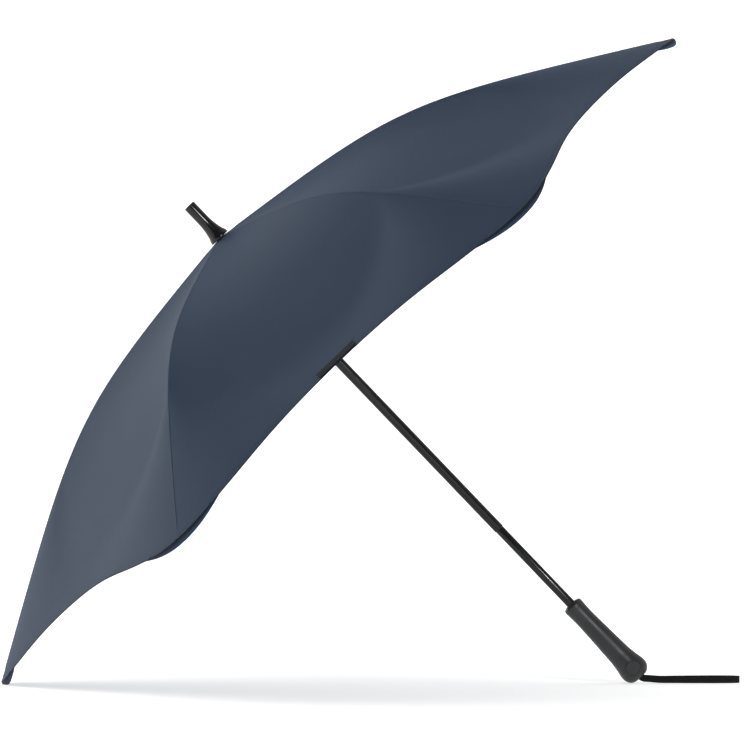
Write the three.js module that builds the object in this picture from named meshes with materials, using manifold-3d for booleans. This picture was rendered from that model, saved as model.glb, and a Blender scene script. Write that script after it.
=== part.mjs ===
// Stick umbrella with six ribs, open and set down on the floor: it leans on its lowest rib tip and on
// the end of its handle. Millimetres, +Z up, +X towards the handle, -Y towards the viewer.
//
// Everything but the wrist strap is drawn in the umbrella's own frame: +Z along the shaft towards the
// ferrule, the canopy's apex at z = 0, and the first rib along +X. Heights below the apex are drops.
import * as THREE from "three";
import { mergeVertices } from "three/addons/utils/BufferGeometryUtils.js";
import Module from "manifold-3d";

const wasm = await Module();
wasm.setup();

const GAP = 0.3;
const DEG = Math.PI / 180;

// Stance
const LEAN = 46.245 * DEG; // the shaft above the floor, with a rib tip and the handle both touching it

// Canopy
const RIBS = 6;
const RIB_STEP = (2 * Math.PI) / RIBS;
const HALF_PANEL = RIB_STEP / 2;
const SPAN = 600; // from the shaft's axis to a rib tip, measured across the shaft
const CROWN_SLOPE = 0.1137;
const RIM_SLOPE = 0.596;
const BEND_AT = 288.9; // the radius where the canopy's curve turns down
const BEND_LENGTH = 56.6; // how gradually it turns
const EDGE_IN = 2; // from the rib tip's radius in to the hem
const EDGE_PULL = 378;
const TIP_ROUND = 0.22; // how broad the rounded tips are, as a share of half a panel
const SAG = 6; // how far a panel pulls in between its ribs
const CREASE = 5; // the rounding of the crease over a rib
const TIP_CREASE = 120; // the same near the rim, where the tip arms spread the fabric flat
const SPREAD_FROM = 440;
const SPREAD_TO = 570;
const FABRIC = 1;
const FABRIC_HOLE = 7.3;

// Shaft
const SHAFT_R = 6.7;
const SHAFT_WALL = 0.9;
const SHAFT_TOP = 39.5;
const SHAFT_STEP = -523.5; // below it the thinner tube shows
const STEM_R = 6.05 - GAP;
const STEM_SHOWN_R = 6.05;
const STEM_WALL = 0.9;
const STEM_TOP = -470;
const STEM_END = -764;

// Crown and ribs
const PIVOT_R = 13.5; // the wires of the crown and the runner, from the axis
const CROWN_PIVOT_Z = -9;
const CROWN_R = 17.5;
const CROWN_BOTTOM = -17;
const WIRE_R = 0.7;
const SLOT = 4.8;
const SLOT_FLOOR = 10.1;
const BAR_WIDTH = 3.8;
const BAR_DEPTH = 3.4;
const BAR_BELOW = FABRIC + 1.6; // the top of a rib below the canopy's outer face
const JOINT_R = 279; // the stretcher's pivot, from the axis
const JOINT_BELOW = 10.9; // and below the canopy's outer face
const FLEX_R = 284; // where a rib's flexible outer part starts
const TONGUE = 1.4;
const CHEEK = 1.1;
const PIN_R = 1.1;
const STRETCHER_DEPTH = 3.2;

// Rib tips: the hub on a rib's end, its centre pin and its two arms
const HUB_BACK = -74;
const HUB_FRONT = -55;
const HUB_HALF = 7.2;
const HUB_TOP = -3;
const HUB_BOTTOM = -9.2;
const HUB_PLATE = 1.3;
const TIP_LEVEL = (HUB_TOP + HUB_BOTTOM) / 2;
const TIP_PIN_R = 1.5;
const TIP_PIN_END = 4;
const ARM_PIVOT_A = -61;
const ARM_PIVOT_X = 4.6;
const ARM_END_A = -30;
const ARM_END_X = 51;
const ARM_SINK = 6.2; // how far an arm slopes down to follow the fabric
const ARM_WIDTH = 3;
const ARM_THICK = 2.2;
const ARM_EYE = 2.5;

// Runner
const RUNNER_BORE = 7.05;
const RUNNER_HEAD_R = 17.5;
const RUNNER_GRIP_R = 12.6;
const RUNNER_HEAD = 7; // above and below its pivots
const RUNNER_LENGTH = 50; // from its pivots down to its lower end
const KEYWAY = 3.8;
const KEYWAY_R = 9.5;
const CATCH_WIDTH = 2.6;

// Handle
const GRIP_TOP = -659;
const GRIP_END = -789;
const GRIP_BORE = 9.3;
const CORE_R = 9;
const DISC_R = 9.4;
const DISC_AT = -773;
const DISC_DEPTH = 17.2; // the disc's face, from the axis

// Wrist strap
const STRAP_WIDTH = 9;
const STRAP_THICK = 1.6;
const STRAP_REACH = 128; // along the floor past the handle
const STRAP_OPEN = 13; // half of the loop's width in plan

const black = (color, roughness, metalness = 0) =>
  new THREE.MeshStandardMaterial({ color, roughness, metalness });
const finishes = {
  gloss: () => black(0x101113, 0.25),
  metal: () => black(0x3a3c40, 0.35, 0.9),
  fibre: () => black(0x191a1c, 0.45),
  plastic: () => black(0x1d1e20, 0.5),
  rubber: () => black(0x2c2d2e, 0.85),
  fabric: () => black(0x3d4c62, 0.8),
  webbing: () => black(0x101010, 0.9),
};

// The canopy's outer face ------------------------------------------------------------------------

const softplus = (x) => Math.log1p(Math.exp(x));

function smoothstep(from, to, x) {
  const t = Math.min(1, Math.max(0, (x - from) / (to - from)));
  return t * t * (3 - 2 * t);
}

/** How far the canopy has dropped below its apex at a rib, at this radius. */
function drop(radius) {
  const turned = softplus((radius - BEND_AT) / BEND_LENGTH) - softplus(-BEND_AT / BEND_LENGTH);
  return CROWN_SLOPE * radius + (RIM_SLOPE - CROWN_SLOPE) * BEND_LENGTH * turned;
}

/** The outer face's height over a point at x across a rib and y along it. */
function canopyHeight(x, y) {
  const width = CREASE + (TIP_CREASE - CREASE) * smoothstep(SPREAD_FROM, SPREAD_TO, y);
  const across = x * Math.tanh(x / width);
  const ribRadius = y + across * Math.tan(HALF_PANEL);
  const share = Math.min(1, Math.abs(Math.atan2(x, y)) / HALF_PANEL);
  const sag = SAG * Math.sin((Math.PI * Math.min(ribRadius, 650)) / 650) * share * (2 - share);
  return -drop(ribRadius) - sag;
}

/** The hem's distance from the axis, at a share of half a panel away from a rib. */
function hemRadius(share) {
  const round = Math.hypot(share, TIP_ROUND) - TIP_ROUND;
  const rise = (0.5 * EDGE_PULL) / Math.hypot(1, TIP_ROUND);
  return SPAN - EDGE_IN - EDGE_PULL * round + rise * share * share;
}

// Solids -----------------------------------------------------------------------------------------

function toSolid(geometry) {
  const bare = geometry.clone();
  bare.deleteAttribute("normal");
  bare.deleteAttribute("uv");
  const welded = mergeVertices(bare, 1e-5);
  const mesh = new wasm.Mesh({
    numProp: 3,
    vertProperties: new Float32Array(welded.attributes.position.array),
    triVerts: new Uint32Array(welded.index.array),
  });
  return new wasm.Manifold(mesh);
}

function toGeometry(solid) {
  const mesh = solid.getMesh();
  const geometry = new THREE.BufferGeometry();
  geometry.setAttribute("position", new THREE.BufferAttribute(mesh.vertProperties, 3));
  geometry.setIndex(new THREE.BufferAttribute(mesh.triVerts, 1));
  return geometry;
}

function join(first, ...others) {
  return toGeometry(others.reduce((all, next) => all.add(toSolid(next)), toSolid(first)));
}

function cut(first, ...others) {
  return toGeometry(others.reduce((all, next) => all.subtract(toSolid(next)), toSolid(first)));
}

/** A round part about the shaft, from a closed outline of [radius, height] points. */
function turned(outline, sides = 24) {
  const points = outline.map(([r, z]) => new THREE.Vector2(r, z));
  if (outline[0][0] > 0) {
    points.push(points[0].clone());
  }
  return new THREE.LatheGeometry(points, sides).rotateX(Math.PI / 2);
}

/** An outline drawn with x along a rib and y up, given a thickness across the rib. */
function plate(shape, thickness, middle = 0, curveSegments = 3) {
  const geometry = new THREE.ExtrudeGeometry(shape, {
    depth: thickness,
    bevelEnabled: false,
    curveSegments,
  });
  return geometry.rotateX(Math.PI / 2).translate(0, thickness / 2 + middle, 0);
}

/** The outline of a bar with round ends between two points. */
function link(from, to, radius) {
  const angle = Math.atan2(to.y - from.y, to.x - from.x);
  const shape = new THREE.Shape();
  shape.absarc(from.x, from.y, radius, angle + Math.PI / 2, angle + 1.5 * Math.PI, false);
  shape.absarc(to.x, to.y, radius, angle - Math.PI / 2, angle + Math.PI / 2, false);
  shape.closePath();
  return shape;
}

/** A pin across a rib, at a point in the rib's plane. */
function crossPin(at, radius, length, sides = 8) {
  return new THREE.CylinderGeometry(radius, radius, length, sides).translate(at.x, 0, at.y);
}

function box(x0, x1, y0, y1, z0, z1) {
  return new THREE.BoxGeometry(x1 - x0, y1 - y0, z1 - z0).translate(
    (x0 + x1) / 2,
    (y0 + y1) / 2,
    (z0 + z1) / 2,
  );
}

function around(count, make) {
  return Array.from({ length: count }, (_, i) => make(i).rotateZ((i * 2 * Math.PI) / count));
}

function piece(name, geometry, material) {
  const mesh = new THREE.Mesh(geometry, material);
  mesh.name = name;
  return mesh;
}

// Pivots, in a rib's plane -----------------------------------------------------------------------

const crownPivot = new THREE.Vector2(PIVOT_R, CROWN_PIVOT_Z);
const jointPivot = new THREE.Vector2(JOINT_R, -drop(JOINT_R) - JOINT_BELOW);
const runnerPivot = new THREE.Vector2(PIVOT_R, 2 * jointPivot.y - crownPivot.y);
const flexPivot = new THREE.Vector2(FLEX_R, -drop(FLEX_R) - BAR_BELOW - BAR_DEPTH / 2);

// Ribs -------------------------------------------------------------------------------------------

/** How far a rib's top lies below the canopy's outer face: lower at the crown and at the tip hub. */
function ribBelow(radius) {
  const root = crownPivot.y + BAR_DEPTH / 2 + drop(PIVOT_R) + BAR_BELOW;
  return BAR_BELOW - root * (1 - smoothstep(PIVOT_R + 5, 75, radius)) + 3 * smoothstep(470, 515, radius);
}

/** The outline of a stretch of rib between two radii. */
function ribOutline(from, to, steps) {
  const top = [];
  for (let i = 0; i <= steps; i += 1) {
    const radius = from + ((to - from) * i) / steps;
    top.push(new THREE.Vector2(radius, -drop(radius) - ribBelow(radius)));
  }
  const bottom = top.map((p) => new THREE.Vector2(p.x, p.y - BAR_DEPTH)).reverse();
  return new THREE.Shape([...top, ...bottom]);
}

function makeRib() {
  const bar = plate(ribOutline(PIVOT_R + 1, FLEX_R - 9, 9), BAR_WIDTH);
  const eye = crossPin(crownPivot, 2.5, BAR_WIDTH, 12);
  const tongueBar = plate(ribOutline(FLEX_R - 12, FLEX_R, 2), TONGUE);
  const tongue = plate(link(flexPivot, jointPivot, 2.5), TONGUE);
  const pinLength = TONGUE + 2 * (GAP + CHEEK);
  const pins = [flexPivot, jointPivot].map((at) => crossPin(at, PIN_R, pinLength));
  return cut(join(bar, eye, tongueBar, tongue, ...pins), crossPin(crownPivot, WIRE_R + 0.45, 10));
}

/** Two cheeks that straddle a rib's tongue, with a hole for its pin. */
function cheeks(at, towards, radius, length) {
  const reach = towards.clone().sub(at).setLength(length).add(at);
  const offset = TONGUE / 2 + GAP + CHEEK / 2;
  const hole = crossPin(at, PIN_R + GAP, 10);
  return [-offset, offset].map((y) => cut(plate(link(at, reach, radius), CHEEK, y), hole));
}

function makeOuterRib() {
  const tip = new THREE.Vector2(FLEX_R + 20, -drop(FLEX_R + 20) - BAR_BELOW - BAR_DEPTH / 2);
  const end = tipPoint(HUB_BACK - 5, 0).x;
  const bar = plate(ribOutline(FLEX_R + 6, end, 9), BAR_WIDTH);
  const back = tipPoint(HUB_BACK - 12, TIP_LEVEL);
  const front = tipPoint(HUB_BACK + 7, TIP_LEVEL);
  const tenon = plate(link(back, front, 1), 2);
  return join(bar, ...cheeks(flexPivot, tip, 1.7, 9), tenon);
}

function makeStretcher() {
  const start = runnerPivot.clone().sub(jointPivot).setLength(7).add(jointPivot);
  const bar = plate(link(start, runnerPivot, STRETCHER_DEPTH / 2), BAR_WIDTH);
  const knuckle = crossPin(runnerPivot, 2.5, BAR_WIDTH, 12);
  return join(bar, knuckle, ...cheeks(jointPivot, runnerPivot, 2.5, 8));
}

// Rib tips: a frame at the rib's tip, with `a` out along the canopy and `n` up from its outer face ---

const TIP_SLOPE = Math.atan(RIM_SLOPE);

/** A point in a rib's plane from its place in the tip's frame. */
function tipPoint(a, n) {
  return new THREE.Vector2(
    SPAN + a * Math.cos(TIP_SLOPE) + n * Math.sin(TIP_SLOPE),
    -drop(SPAN) - a * Math.sin(TIP_SLOPE) + n * Math.cos(TIP_SLOPE),
  );
}

/** Turns a part drawn with x out, y across and z up from the canopy into place at a rib's tip. */
function atTip(geometry) {
  return geometry.rotateY(TIP_SLOPE).translate(SPAN, 0, -drop(SPAN));
}

/** A flat part of the tip, drawn in plan with x out and y across, between two levels. */
function tipPlate(shape, low, high, curveSegments = 2) {
  const depth = high - low;
  return new THREE.ExtrudeGeometry(shape, { depth, bevelEnabled: false, curveSegments }).translate(0, 0, low);
}

function makeHub() {
  const outline = new THREE.Shape();
  outline.moveTo(HUB_BACK, -3.2);
  outline.lineTo(ARM_PIVOT_A - 4, -HUB_HALF);
  outline.lineTo(HUB_FRONT - 2, -HUB_HALF);
  outline.quadraticCurveTo(HUB_FRONT, -HUB_HALF, HUB_FRONT, -HUB_HALF + 2);
  outline.lineTo(HUB_FRONT, HUB_HALF - 2);
  outline.quadraticCurveTo(HUB_FRONT, HUB_HALF, HUB_FRONT - 2, HUB_HALF);
  outline.lineTo(ARM_PIVOT_A - 4, HUB_HALF);
  outline.lineTo(HUB_BACK, 3.2);
  outline.closePath();
  const plates = [
    tipPlate(outline, HUB_TOP - HUB_PLATE, HUB_TOP),
    tipPlate(outline, HUB_BOTTOM, HUB_BOTTOM + HUB_PLATE),
  ];
  const spine = box(HUB_BACK, HUB_FRONT, -1.4, 1.4, HUB_BOTTOM + 0.5, HUB_TOP - 0.5);
  const root = box(HUB_BACK, ARM_PIVOT_A - 4.5, -3.2, 3.2, HUB_BOTTOM + 0.5, HUB_TOP - 0.5);
  const pins = [-ARM_PIVOT_X, ARM_PIVOT_X].map((y) =>
    new THREE.CylinderGeometry(0.9, 0.9, HUB_TOP - HUB_BOTTOM - 1, 8)
      .rotateX(Math.PI / 2)
      .translate(ARM_PIVOT_A, y, TIP_LEVEL),
  );
  const length = TIP_PIN_END - HUB_FRONT + 1 - TIP_PIN_R;
  const centrePin = new THREE.CapsuleGeometry(TIP_PIN_R, length, 2, 8)
    .rotateZ(Math.PI / 2)
    .translate(TIP_PIN_END - TIP_PIN_R - length / 2, 0, TIP_LEVEL);
  const socket = box(HUB_BACK - 1, HUB_BACK + 8.6, -1.3, 1.3, TIP_LEVEL - 1.3, TIP_LEVEL + 1.3);
  return atTip(cut(join(...plates, spine, root, ...pins, centrePin), socket));
}

function makeArm(side) {
  const eye = new THREE.CylinderGeometry(ARM_EYE, ARM_EYE, ARM_THICK, 12).rotateX(Math.PI / 2);
  const reach = new THREE.Vector2(ARM_END_A - ARM_PIVOT_A, ARM_END_X - ARM_PIVOT_X);
  const length = reach.length();
  const blade = tipPlate(
    link(new THREE.Vector2(3, 0), new THREE.Vector2(length, 0), ARM_WIDTH / 2),
    -ARM_THICK / 2,
    ARM_THICK / 2,
  ).rotateY(Math.atan2(ARM_SINK, length));
  const pinHole = new THREE.CylinderGeometry(0.9 + GAP, 0.9 + GAP, 5, 8).rotateX(Math.PI / 2);
  const arm = cut(join(eye, blade), pinHole)
    .rotateZ(side * Math.atan2(reach.y, reach.x))
    .translate(ARM_PIVOT_A, side * ARM_PIVOT_X, TIP_LEVEL);
  return atTip(arm);
}

// Canopy -----------------------------------------------------------------------------------------

/**
 * The fabric that is sewn to one rib: half a panel on either side of it. A box is shaped into the
 * sheet, with its x across the rib, its y from the crown to the hem and its z through the fabric.
 */
function makeCanopySector() {
  const geometry = new THREE.BoxGeometry(2, 1, 1, 8, 16, 1);
  const points = geometry.attributes.position;
  for (let i = 0; i < points.count; i += 1) {
    const share = Math.abs(points.getX(i)) ** 1.4;
    const along = points.getY(i) + 0.5;
    const radius = FABRIC_HOLE + (hemRadius(share) - FABRIC_HOLE) * along;
    const edgeGap = share > 0.999 ? GAP / 2 / radius : 0;
    const angle = -Math.sign(points.getX(i)) * (share * HALF_PANEL - edgeGap);
    const x = radius * Math.sin(angle);
    const y = radius * Math.cos(angle);
    const z = canopyHeight(x, y) - (0.5 - points.getZ(i)) * FABRIC;
    points.setXYZ(i, y, x, z);
  }
  return toGeometry(toSolid(geometry));
}

/** The closing band, sewn to the middle of a panel's edge and lying flat on it. */
function makeTieBand() {
  const geometry = new THREE.BoxGeometry(63, 13, 1.2, 6, 1, 1);
  const points = geometry.attributes.position;
  for (let i = 0; i < points.count; i += 1) {
    const radius = hemRadius(1) - 9 + points.getY(i);
    const across = points.getX(i);
    const angle = HALF_PANEL - Math.abs(Math.atan2(across, radius));
    const distance = Math.hypot(across, radius);
    const height = canopyHeight(distance * Math.sin(angle), distance * Math.cos(angle));
    points.setXYZ(i, radius, -across, height + 1 + points.getZ(i));
  }
  return toGeometry(toSolid(geometry));
}

// Shaft, ferrule and crown -----------------------------------------------------------------------

/** The axial slot in a tube's +Y side through which a catch stands out. */
function catchSlot(radius, top, bottom) {
  return box(-CATCH_WIDTH / 2 - 0.5, CATCH_WIDTH / 2 + 0.5, 2, radius + 2, bottom, top);
}

/** A leaf-spring catch inside a tube: a long leaf with a ramped nose through the slot. */
function makeCatch(inner, outer, top, bottom) {
  const leafTop = bottom - 22;
  const shape = new THREE.Shape();
  shape.moveTo(inner - 1.4, leafTop);
  shape.lineTo(inner - 0.5, leafTop);
  shape.lineTo(inner - 0.5, bottom + 0.6);
  shape.lineTo(outer, top - 3);
  shape.lineTo(outer, top - 0.6);
  shape.lineTo(inner - 1.4, top - 0.6);
  shape.closePath();
  return plate(shape, CATCH_WIDTH).rotateZ(Math.PI / 2);
}

function makeTube(radius, wall, top, bottom, slot) {
  const outline = [
    [radius - wall, bottom],
    [radius - 0.4, bottom],
    [radius, bottom + 0.8],
    [radius, top - 0.4],
    [radius - 0.4, top],
    [radius - wall, top],
  ];
  return cut(turned(outline), slot);
}

function makeStem(slot) {
  const outline = [
    [STEM_R - STEM_WALL, STEM_END],
    [STEM_SHOWN_R, STEM_END],
    [STEM_SHOWN_R, SHAFT_STEP - GAP],
    [STEM_R, SHAFT_STEP - GAP],
    [STEM_R, STEM_TOP],
    [STEM_R - STEM_WALL, STEM_TOP],
  ];
  return cut(turned(outline), slot);
}

function makeFerrule() {
  const outline = [
    [0, SHAFT_TOP + GAP],
    [SHAFT_R + GAP, SHAFT_TOP + GAP],
    [SHAFT_R + GAP, 1],
    [13.5, 1],
    [13.5, 2.6],
    [12.85, 4.2],
    [11.2, 8],
    [10, 13],
    [9.1, 18],
    [8.3, 24],
    [8, 30],
    [8, 56.6],
    [7.3, 58],
    [0, 58],
  ];
  return turned(outline, 28);
}

function makeFerruleRing() {
  return turned([
    [SHAFT_R + GAP, -0.4],
    [12.6, -0.4],
    [13.8, 0],
    [13.8, 0.7],
    [SHAFT_R + GAP, 0.7],
  ]);
}

function makeCrown() {
  const top = (radius) => -0.163 * radius - FABRIC - 0.35;
  const body = turned([
    [SHAFT_R + GAP, CROWN_BOTTOM - 5],
    [9.8, CROWN_BOTTOM - 5],
    [9.8, CROWN_BOTTOM],
    [CROWN_R, CROWN_BOTTOM],
    [CROWN_R, top(CROWN_R)],
    [SHAFT_R + GAP, top(SHAFT_R)],
  ]);
  const slots = around(RIBS, () => box(SLOT_FLOOR, 25, -SLOT / 2, SLOT / 2, -30, -5.3));
  const channel = new THREE.TorusGeometry(PIVOT_R, WIRE_R + GAP, 6, 36).translate(0, 0, CROWN_PIVOT_Z);
  return cut(body, ...slots, channel);
}

// Runner -----------------------------------------------------------------------------------------

function makeRunner() {
  const z = runnerPivot.y;
  const body = turned([
    [RUNNER_BORE, z - RUNNER_LENGTH],
    [RUNNER_GRIP_R - 1, z - RUNNER_LENGTH],
    [RUNNER_GRIP_R, z - RUNNER_LENGTH + 1.5],
    [RUNNER_GRIP_R, z - RUNNER_HEAD - 3],
    [RUNNER_HEAD_R, z - RUNNER_HEAD],
    [RUNNER_HEAD_R, z + RUNNER_HEAD - 1],
    [RUNNER_HEAD_R - 1, z + RUNNER_HEAD],
    [10.5, z + RUNNER_HEAD],
    [9.6, z + RUNNER_HEAD + 8],
    [RUNNER_BORE, z + RUNNER_HEAD + 8],
  ]);
  const slots = around(RIBS, () => box(SLOT_FLOOR, 25, -SLOT / 2, SLOT / 2, z - 60, z + 20));
  const keyway = box(-KEYWAY / 2, KEYWAY / 2, 2, KEYWAY_R, z - 60, z + 20);
  return cut(body, ...slots, keyway);
}

// Handle -----------------------------------------------------------------------------------------

/** The grip's outer radius down its length, as [height, radius] from its top rim to its end. */
const gripProfile = [
  [GRIP_TOP, 12.4],
  [GRIP_TOP - 1.2, 13.4],
  [GRIP_TOP - 4, 13.6],
  [GRIP_TOP - 10, 13.1],
  [GRIP_TOP - 25, 12.7],
  [GRIP_TOP - 50, 13.5],
  [GRIP_TOP - 75, 14.5],
  [GRIP_TOP - 91, 15.2],
  [GRIP_TOP - 103, 16.7],
  [GRIP_TOP - 110, 18.1],
  [GRIP_TOP - 115, 18.8],
  [GRIP_TOP - 119, 18.7],
  [GRIP_TOP - 123, 17.6],
  [GRIP_TOP - 126.5, 15.4],
  [GRIP_TOP - 129, 12.4],
  [GRIP_TOP - 130, 10],
];

function makeGrip() {
  const outside = gripProfile.map(([z, r]) => [r, z]).reverse();
  const body = turned([[GRIP_BORE, GRIP_END], ...outside, [GRIP_BORE, GRIP_TOP]], 28);
  const seat = new THREE.CylinderGeometry(DISC_R + GAP, DISC_R + GAP, 8, 24).translate(
    0,
    -(DISC_DEPTH - 2 - GAP + 4),
    DISC_AT,
  );
  return cut(body, seat);
}

/** The hard core that joins the grip to the stem, with a plugged end for the wrist strap. */
function makeCore() {
  const bore = STEM_SHOWN_R + GAP;
  const outline = [
    [0, GRIP_END + 1],
    [CORE_R - 1, GRIP_END + 1],
    [CORE_R, GRIP_END + 2],
    [CORE_R, GRIP_TOP + 1],
    [bore, GRIP_TOP + 1],
    [bore, STEM_END - GAP],
    [0, STEM_END - GAP],
  ];
  const strapHole = box(-5.2, 5.2, -3, 3, GRIP_END - 5, GRIP_END + 9);
  return cut(turned(outline), strapHole);
}

function makeDisc() {
  return new THREE.CylinderGeometry(DISC_R, DISC_R - 0.5, 2, 24).translate(0, -(DISC_DEPTH - 1), DISC_AT);
}

// Wrist strap: drawn on the floor, from the handle's end out and back ---------------------------------

/** The strap's centreline, with x from the handle's end along the floor and y across it. */
function strapPath(exit) {
  const floor = STRAP_WIDTH / 2 + 0.2;
  const side = (sign) => [
    [3.5, 1.6, exit.z - 1.6],
    [12, 2.2, floor + 1.1],
    [24, 3.6, floor + 0.1],
    [48, 7.6, floor],
    [76, STRAP_OPEN - 1, floor],
    [100, STRAP_OPEN, floor],
    [119, 9.6, floor],
    [STRAP_REACH - 1.6, 4.4, floor],
  ].map(([x, y, z]) => new THREE.Vector3(exit.x + x, exit.y + sign * y, z));
  const fold = new THREE.Vector3(exit.x + STRAP_REACH, exit.y, floor);
  const points = [...side(-1), fold, ...side(1).reverse()];
  return new THREE.CatmullRomCurve3(points, false, "centripetal");
}

function makeStrap(exit) {
  const w = STRAP_WIDTH / 2;
  const t = STRAP_THICK / 2;
  const round = 0.3;
  const section = new THREE.Shape();
  section.moveTo(-t + round, -w);
  section.lineTo(t - round, -w);
  section.lineTo(t, -w + round);
  section.lineTo(t, w - round);
  section.lineTo(t - round, w);
  section.lineTo(-t + round, w);
  section.lineTo(-t, w - round);
  section.lineTo(-t, -w + round);
  section.closePath();
  return new THREE.ExtrudeGeometry(section, { steps: 44, extrudePath: strapPath(exit), bevelEnabled: false });
}

// The umbrella -----------------------------------------------------------------------------------

const umbrella = new THREE.Group();
umbrella.name = "umbrella";

const topSlot = [runnerPivot.y - RUNNER_LENGTH - 1, runnerPivot.y - RUNNER_LENGTH - 13];
const lowerSlot = [SHAFT_STEP - 2, SHAFT_STEP - 14];

umbrella.add(
  piece("ferrule", makeFerrule(), finishes.gloss()),
  piece("ferrule_ring", makeFerruleRing(), finishes.plastic()),
  piece("crown", makeCrown(), finishes.plastic()),
  piece(
    "crown_wire",
    new THREE.TorusGeometry(PIVOT_R, WIRE_R, 6, 36).translate(0, 0, CROWN_PIVOT_Z),
    finishes.metal(),
  ),
  piece(
    "shaft_tube",
    makeTube(SHAFT_R, SHAFT_WALL, SHAFT_TOP, SHAFT_STEP, catchSlot(SHAFT_R, ...topSlot)),
    finishes.gloss(),
  ),
  piece("shaft_stem", makeStem(catchSlot(STEM_SHOWN_R, ...lowerSlot)), finishes.gloss()),
  piece("top_catch", makeCatch(SHAFT_R - SHAFT_WALL, SHAFT_R + 2.1, ...topSlot), finishes.metal()),
  piece("lower_catch", makeCatch(STEM_R - STEM_WALL, STEM_SHOWN_R + 2.4, ...lowerSlot), finishes.metal()),
  piece("runner", makeRunner(), finishes.plastic()),
  piece("handle_core", makeCore(), finishes.plastic()),
  piece("handle_grip", makeGrip(), finishes.rubber()),
  piece("handle_disc", makeDisc(), finishes.rubber()),
);

const shared = {
  rib: makeRib(),
  outerRib: makeOuterRib(),
  stretcher: makeStretcher(),
  hub: makeHub(),
  leftArm: makeArm(1),
  rightArm: makeArm(-1),
  sector: makeCanopySector(),
};

for (let i = 0; i < RIBS; i += 1) {
  const spoke = new THREE.Group();
  const n = i + 1;
  spoke.name = `spoke_${n}`;
  spoke.rotation.z = i * RIB_STEP;
  spoke.add(
    piece(`rib_${n}`, shared.rib, finishes.metal()),
    piece(`outer_rib_${n}`, shared.outerRib, finishes.fibre()),
    piece(`stretcher_${n}`, shared.stretcher, finishes.metal()),
    piece(`tip_hub_${n}`, shared.hub, finishes.plastic()),
    piece(`tip_arm_left_${n}`, shared.leftArm, finishes.plastic()),
    piece(`tip_arm_right_${n}`, shared.rightArm, finishes.plastic()),
    piece(`canopy_${n}`, shared.sector, finishes.fabric()),
  );
  umbrella.add(spoke);
}

const tieBand = piece("tie_band", makeTieBand(), finishes.webbing());
tieBand.rotation.z = -Math.PI / 2;
umbrella.add(tieBand);

// The stance: leaning in the XZ plane and on the floor, with its box's middle over the origin.
umbrella.rotation.y = LEAN - Math.PI / 2;
umbrella.updateMatrixWorld(true);
const extent = new THREE.Box3().setFromObject(umbrella, true);
umbrella.position.set(
  -(extent.min.x + extent.max.x) / 2,
  -(extent.min.y + extent.max.y) / 2,
  -extent.min.z,
);
umbrella.updateMatrixWorld(true);

const model = new THREE.Group();
model.name = "stick_umbrella";
const strapExit = umbrella.localToWorld(new THREE.Vector3(0, 0, GRIP_END + 1 - GAP));
model.add(umbrella, piece("wrist_strap", makeStrap(strapExit), finishes.webbing()));

export default model;
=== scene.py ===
"""The look of a stick umbrella with six ribs, lying open on a floor.

Shapes are drawn in millimetres in the umbrella's own frame: +Z along the shaft towards the ferrule, the
canopy's apex at the origin and the first rib along +X. place() takes them into the model's frame, in
metres.
"""
import math

import bmesh
import bpy
import numpy as np
from mathutils import Matrix, Vector


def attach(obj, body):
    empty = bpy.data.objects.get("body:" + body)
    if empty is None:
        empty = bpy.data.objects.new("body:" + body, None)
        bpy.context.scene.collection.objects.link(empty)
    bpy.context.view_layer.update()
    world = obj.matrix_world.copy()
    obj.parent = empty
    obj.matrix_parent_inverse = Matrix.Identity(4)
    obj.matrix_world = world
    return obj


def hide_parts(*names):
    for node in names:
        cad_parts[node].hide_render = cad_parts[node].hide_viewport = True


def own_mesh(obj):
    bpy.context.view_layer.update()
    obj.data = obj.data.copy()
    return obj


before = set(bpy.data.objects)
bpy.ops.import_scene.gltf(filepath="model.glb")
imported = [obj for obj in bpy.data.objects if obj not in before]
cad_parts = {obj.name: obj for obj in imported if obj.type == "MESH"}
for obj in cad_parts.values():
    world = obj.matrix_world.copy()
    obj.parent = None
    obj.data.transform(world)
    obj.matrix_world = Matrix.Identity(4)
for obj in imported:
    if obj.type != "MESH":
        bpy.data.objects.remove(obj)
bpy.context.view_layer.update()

MM = 0.001
LOWEST = 0.0001  # metres: nothing sinks into the floor

# Stance, as the CAD model has it
LEAN = math.radians(46.245)
APEX = np.array([-153.853, 0.0, 578.040])

# Canopy
RIBS = 6
HALF_PANEL = math.radians(30)
SPAN = 600
RIB_END = 284  # where an outer rib takes over from its rib
CROWN_SLOPE = 0.1137
RIM_SLOPE = 0.596
BEND_AT = 288.9
BEND_LENGTH = 56.6
EDGE_IN = 2
EDGE_PULL = 387  # how far the rim draws in between the tips
TIP_ROUND = 0.39
SAG = 14
SAG_END = 650  # past the rim
EASE = 1.5  # how suddenly the fabric turns level at a panel's middle
LOBE_REACH = 4.5  # how far a tip's pocket pushes the hem out
LOBE_SHARE = 0.3
CREASE = 5  # how softly two panels meet over a rib
TIP_CREASE = 200  # the same at the tip
SPREAD = (357, 560)  # where the one turns into the other
CLOTH = 0.45  # the fabric's thickness
FABRIC_HOLE = 7.3
CAP_R = 24  # inside it the fabric is held by the crown
ROW_PITCH = 8  # between the rows of points on the fabric

# Hem and tip pockets
HEM_WIDTH = 8.5
POCKET_HALF = 80
POCKET_DEPTH = 37
POCKET_EDGE = (0.6, -1.3)  # where the pocket leaves the hem: in from the rim, and above the fabric
SLIT_HALF = 62
STITCH = 2.4
STITCH_PITCH = 3.4
STITCH_TAPER = 0.22  # the share of a stitch that slopes at each end
STITCH_ROOT = 0.12  # how deep its ends sit in the cloth

# Handle
GRIP_TOP = -659
GRIP_END = -789
DISC_R = 9.4
DISC_AT = -773
DISC_DEPTH = 17.2

# Wrist strap
STRAP_WIDTH = 9
STRAP_THICK = 1.6
STRAP_REACH = 128
STRAP_OPEN = 13


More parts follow.
